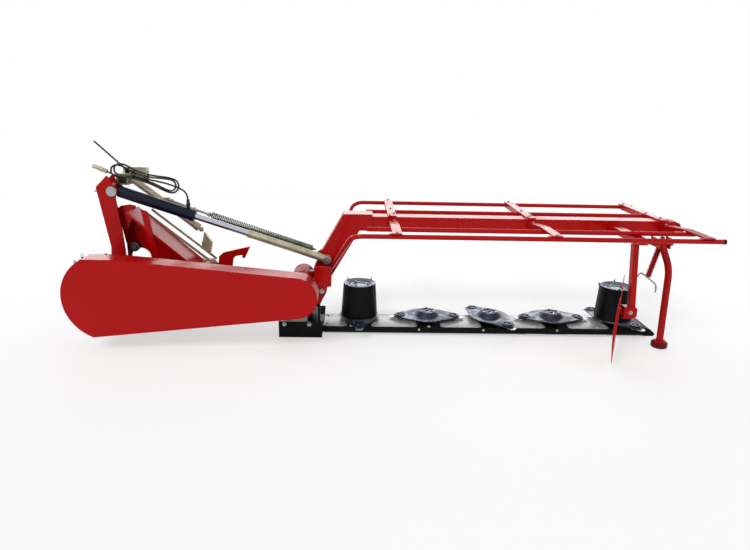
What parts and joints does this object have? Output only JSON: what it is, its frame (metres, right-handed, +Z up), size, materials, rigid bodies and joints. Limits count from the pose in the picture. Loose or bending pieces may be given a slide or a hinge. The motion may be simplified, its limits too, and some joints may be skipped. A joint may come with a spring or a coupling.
{
  "type": "disc mower",
  "caption": "Rear three-point mounted disc mower: headstock with belt guard, lift cylinder, low cutter bar with spinning discs and drums, curtain frame, parking jack and swath board.",
  "frame": {"origin": "on the flat sole of the inner shoe, on the line through the disc centres", "axes": "+X along the cutter bar towards its outer end, +Y the way the mower is driven, +Z up"},
  "size_m": [3.9975, 1.3776, 1.1476],
  "materials": {
    "black_paint": "satin black",
    "blue_black_paint": "blue-black gloss",
    "cast_housing": "cast, painted dark",
    "chrome_rod": "hard chrome, ground",
    "hose_rubber": "matt black",
    "red_paint": "deep gloss red",
    "spring_steel": "oiled spring steel",
    "steel": "worn plain steel",
    "zinc": "zinc plated, satin"
  },
  "bodies": {
    "headstock": {"belt_guard": "red_paint", "guard_back_plate": "black_paint", "frame_beam": "red_paint", "hitch_frame": "red_paint", "hitch_pins": "zinc", "hinge_housing": "red_paint", "input_housing": "cast_housing", "mast": "red_paint", "cylinder_pin": "zinc", "hitch_plate": "red_paint", "mast_brace": "red_paint", "swing_boss": "black_paint", "mast_head": "zinc", "top_link_ears": "zinc", "strut_bars": "zinc", "strut_tube": "zinc", "spring_anchor": "zinc", "transport_hook": "red_paint", "jack_sleeve": "red_paint", "balance_spring": "spring_steel", "control_rod": "black_paint"},
    "lift_barrel": {"lift_barrel": "blue_black_paint", "hose": "hose_rubber", "hose_hank": "hose_rubber", "hose_coupler": "zinc"},
    "lift_rod": {"lift_rod": "chrome_rod", "rod_sleeve": "zinc"},
    "cutting_unit": {"drive_housing": "cast_housing", "gooseneck": "red_paint", "carrier_beam": "red_paint", "front_rail": "red_paint", "rear_rail": "red_paint", "inner_rails": "red_paint", "crossbars": "red_paint", "cutter_bar": "black_paint", "bar_skids": "steel", "inner_shoe": "black_paint", "outer_shoe": "black_paint", "outrigger": "red_paint", "board_post": "red_paint", "swath_board": "red_paint"},
    "disc_1": {"disc_1": "blue_black_paint", "disc_1_knives": "steel", "inner_drum": "black_paint"},
    "disc_2": {"disc_2": "blue_black_paint", "disc_2_knives": "steel"},
    "disc_3": {"disc_3": "blue_black_paint", "disc_3_knives": "steel"},
    "disc_4": {"disc_4": "blue_black_paint", "disc_4_knives": "steel"},
    "disc_5": {"disc_5": "blue_black_paint", "disc_5_knives": "steel", "outer_drum": "black_paint"},
    "input_shaft": {"input_shaft": "steel"},
    "parking_jack": {"parking_jack": "zinc"},
    "outer_leg": {"outer_leg": "red_paint"}
  },
  "joints": [
    {"name": "bar_lift", "type": "hinge", "parent": "headstock", "child": "cutting_unit", "pos_m": [0.004, 0, 0.337], "axis": [0, -1, 0], "range_deg": [-15, 90], "deforming": ["balance_spring"]},
    {"name": "cylinder_pivot", "type": "hinge", "parent": "headstock", "child": "lift_barrel", "pos_m": [-1.137, 0.03, 0.861], "axis": [0, -1, 0], "range_deg": [-3, 2]},
    {"name": "cylinder_stroke", "type": "slide", "parent": "lift_barrel", "child": "lift_rod", "axis": [0.9513, 0, -0.3083], "range_m": [-0.27, 0.06]},
    {"name": "disc_1_spin", "type": "hinge", "parent": "cutting_unit", "child": "disc_1", "pos_m": [0.364, 0, 0.08], "axis": [0, 0, 1], "continuous": true},
    {"name": "disc_2_spin", "type": "hinge", "parent": "cutting_unit", "child": "disc_2", "pos_m": [0.805, 0, 0.08], "axis": [0, 0, 1], "continuous": true},
    {"name": "disc_3_spin", "type": "hinge", "parent": "cutting_unit", "child": "disc_3", "pos_m": [1.215, 0, 0.08], "axis": [0, 0, 1], "continuous": true},
    {"name": "disc_4_spin", "type": "hinge", "parent": "cutting_unit", "child": "disc_4", "pos_m": [1.625, 0, 0.08], "axis": [0, 0, 1], "continuous": true},
    {"name": "disc_5_spin", "type": "hinge", "parent": "cutting_unit", "child": "disc_5", "pos_m": [2.035, 0, 0.08], "axis": [0, 0, 1], "continuous": true},
    {"name": "input_spin", "type": "hinge", "parent": "headstock", "child": "input_shaft", "pos_m": [-1.05, 0.1, 0.33], "axis": [0, 1, 0], "continuous": true},
    {"name": "jack_slide", "type": "slide", "parent": "headstock", "child": "parking_jack", "axis": [0, 0, 1], "range_m": [0, 0.22]},
    {"name": "leg_fold", "type": "hinge", "parent": "cutting_unit", "child": "outer_leg", "pos_m": [2.128, -0.29, 0.655], "axis": [-1, 0, 0], "range_deg": [0, 90]}
  ],
  "couplings": [
    {"joint": "cylinder_pivot", "follows": "bar_lift", "ratio": -0.0199},
    {"joint": "cylinder_stroke", "follows": "bar_lift", "m_per_rad": -0.1645},
    {"joint": "disc_2_spin", "follows": "disc_1_spin", "ratio": -1},
    {"joint": "disc_3_spin", "follows": "disc_1_spin", "ratio": 1},
    {"joint": "disc_4_spin", "follows": "disc_1_spin", "ratio": -1},
    {"joint": "disc_5_spin", "follows": "disc_1_spin", "ratio": 1},
    {"joint": "input_spin", "follows": "disc_1_spin", "ratio": 0.18}
  ]
}
